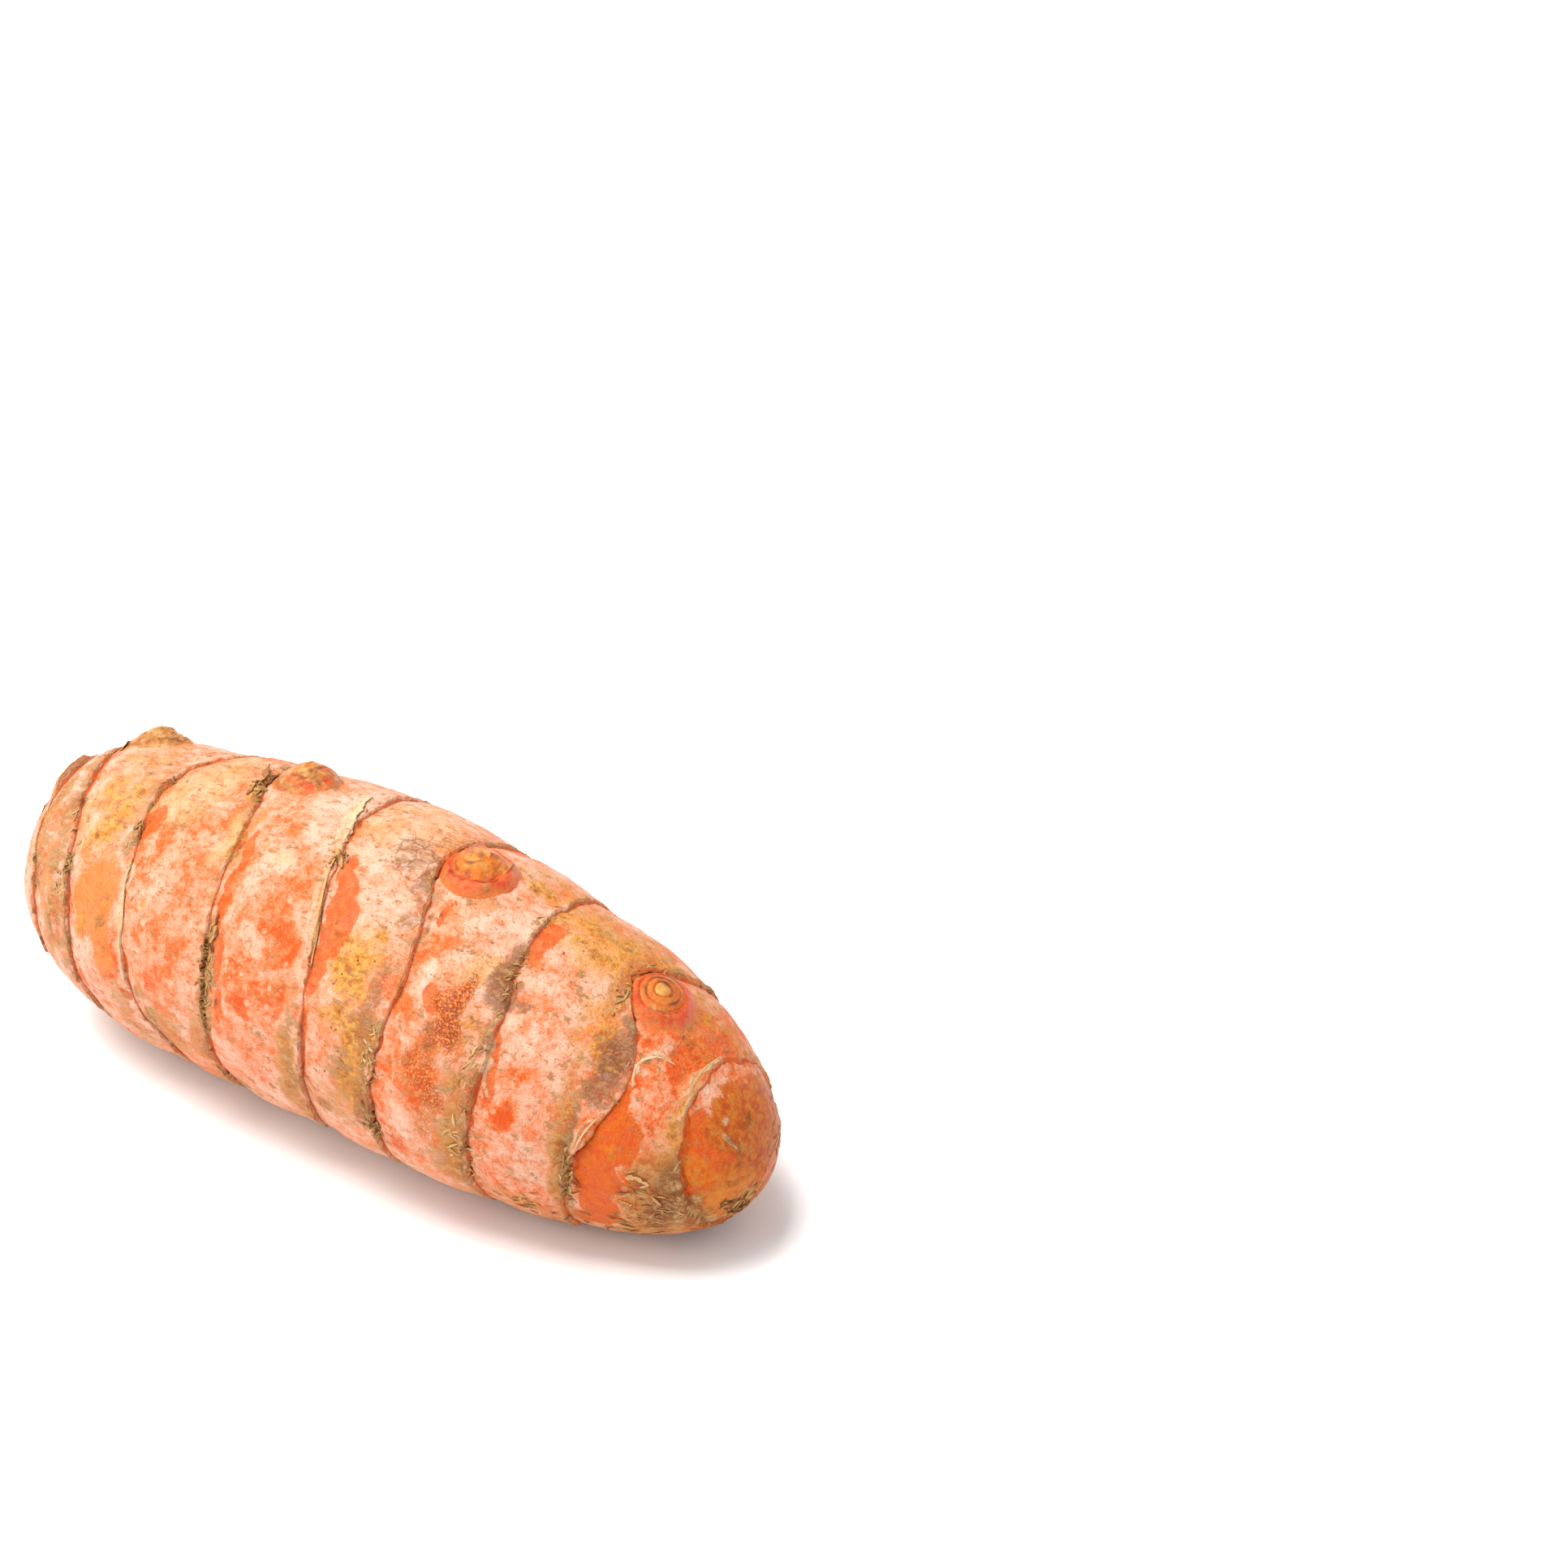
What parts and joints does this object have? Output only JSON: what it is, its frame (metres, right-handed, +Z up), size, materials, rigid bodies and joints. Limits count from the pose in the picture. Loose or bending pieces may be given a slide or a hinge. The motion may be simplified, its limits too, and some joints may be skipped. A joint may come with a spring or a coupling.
{
  "type": "turmeric finger",
  "caption": "Fresh turmeric finger: a plump, tapering rhizome ringed with leaf scars, with low round buds, a rounded growing tip and a rough broken end, lying on its belly.",
  "frame": {"origin": "on the ground under the middle of the bounding box", "axes": "+X along the finger from the broken end to the growing tip, +Z up from the flattened belly, -Y the side that shows best"},
  "size_m": [0.063, 0.025, 0.024],
  "materials": {
    "rhizome_skin": "thin fresh skin, satin, cream-pink to red-orange, with ochre stains and brown leaf-scar rings"
  },
  "bodies": {
    "root": {"rhizome": "rhizome_skin"}
  },
  "joints": []
}
